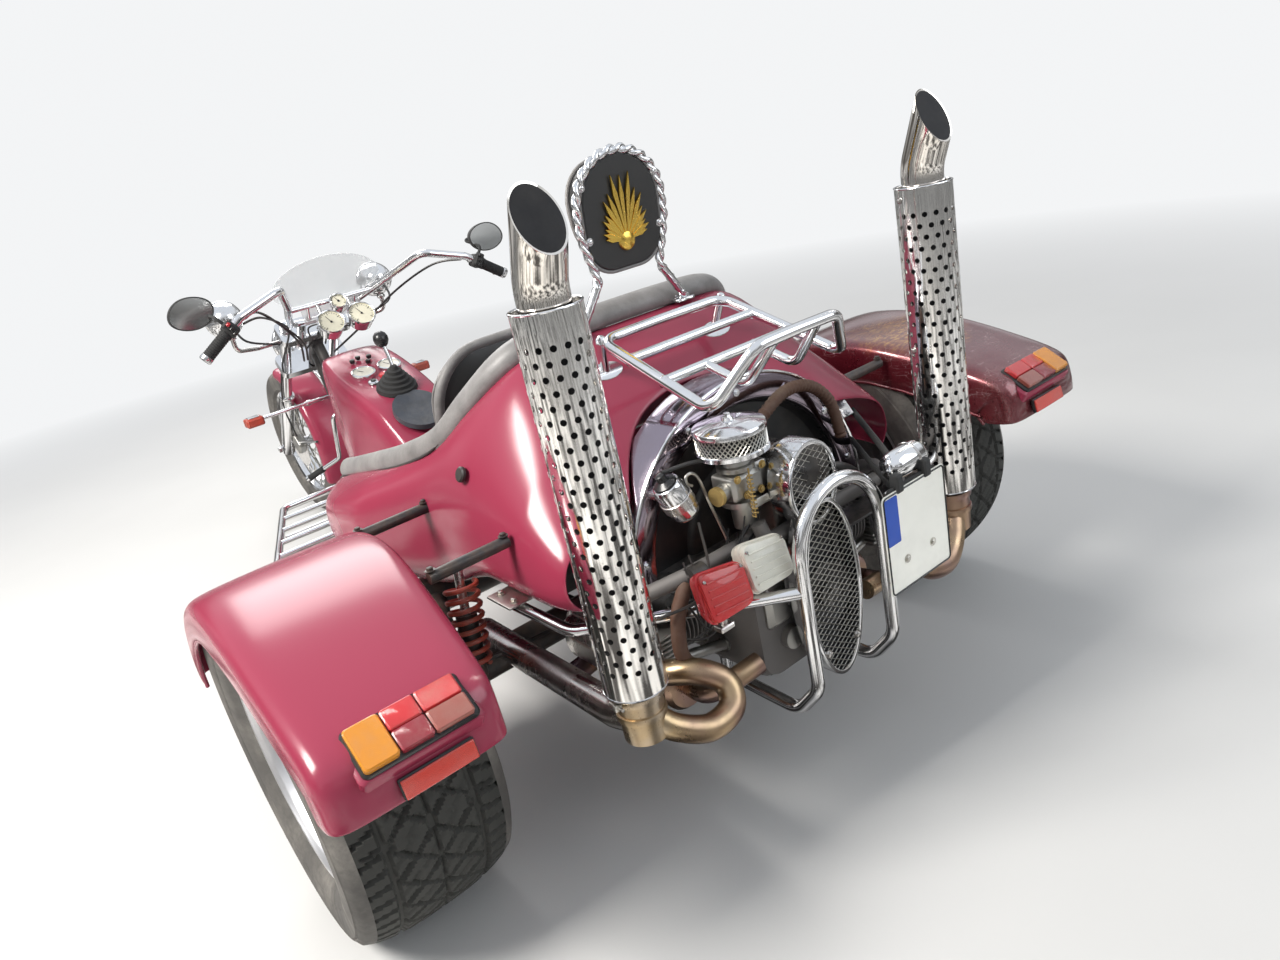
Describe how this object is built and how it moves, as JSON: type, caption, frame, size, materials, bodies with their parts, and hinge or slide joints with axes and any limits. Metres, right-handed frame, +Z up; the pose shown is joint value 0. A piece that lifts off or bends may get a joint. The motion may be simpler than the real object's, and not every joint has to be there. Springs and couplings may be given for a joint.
{
  "type": "motorized trike",
  "caption": "Chopper-style three-wheeled trike: rear air-cooled car engine, twin upright perforated exhaust stacks, moulded two-seat tub, luggage rack and long raked fork.",
  "frame": {"origin": "middle of the trike's bounding box on the ground under the wheels", "axes": "+Z up, -Y is the way the trike faces, +X is the rider's left"},
  "size_m": [1.828, 3.342, 1.244],
  "materials": {
    "maroon_lacquer": "gloss",
    "black_frame": "satin",
    "chrome": "polished",
    "chrome_pipe": "polished",
    "tyre_rubber": "matte",
    "wheel_alloy": "satin",
    "engine_alloy": "weathered",
    "engine_iron": "weathered",
    "black_vinyl": "satin",
    "grip_rubber": "matte",
    "mirror_glass": "polished",
    "clear_screen": "gloss",
    "lamp_lens": "gloss",
    "plate_white": "satin",
    "black_plastic": "matte"
  },
  "bodies": {
    "chassis": {"console": "maroon_lacquer", "gear_lever": "black_plastic", "body_tub": "maroon_lacquer", "driver_seat": "black_vinyl", "passenger_seat": "black_vinyl", "fender_left": "maroon_lacquer", "fender_right": "maroon_lacquer", "tail_lamps": "lamp_lens", "rear_axle": "black_frame", "frame": "black_frame", "footboards": "chrome", "front_indicators": "chrome", "engine_block": "engine_alloy", "cylinders": "engine_iron", "fan_shroud": "chrome", "generator": "chrome", "crank_pulley": "wheel_alloy", "belt_guard": "chrome", "carburettor": "engine_alloy", "air_filter": "chrome", "exhaust_left": "chrome_pipe", "exhaust_right": "chrome_pipe", "heat_shield_left": "chrome", "heat_shield_right": "chrome", "rear_hoop": "chrome", "rear_lamps": "lamp_lens", "number_plate": "plate_white", "plate_carrier": "black_plastic", "luggage_rack": "chrome", "sissy_bar": "chrome", "backrest": "black_vinyl"},
    "steering": {"fork": "chrome", "handlebar": "chrome", "grips": "grip_rubber", "controls": "chrome", "mirrors": "mirror_glass", "headlight": "chrome", "spot_lamps": "chrome", "instruments": "chrome", "windscreen": "clear_screen", "front_fender": "maroon_lacquer"},
    "front_wheel": {"front_rim": "chrome", "front_tyre": "tyre_rubber"},
    "rear_wheel_left": {"rear_rim_left": "wheel_alloy", "rear_tyre_left": "tyre_rubber"},
    "rear_wheel_right": {"rear_rim_right": "wheel_alloy", "rear_tyre_right": "tyre_rubber"}
  },
  "joints": [
    {"name": "steering", "type": "hinge", "parent": "chassis", "child": "steering", "pos_m": [0, -1.32118, 0.28618], "axis": [0, 0.7071, 0.7071], "range_deg": [-30, 30]},
    {"name": "front_wheel", "type": "hinge", "parent": "steering", "child": "front_wheel", "pos_m": [0, -1.353, 0.318], "axis": [1, 0, 0], "continuous": true},
    {"name": "rear_wheel_left", "type": "hinge", "parent": "chassis", "child": "rear_wheel_left", "pos_m": [0.75, 1.081, 0.338], "axis": [1, 0, 0], "continuous": true},
    {"name": "rear_wheel_right", "type": "hinge", "parent": "chassis", "child": "rear_wheel_right", "pos_m": [-0.75, 1.081, 0.338], "axis": [1, 0, 0], "continuous": true}
  ]
}
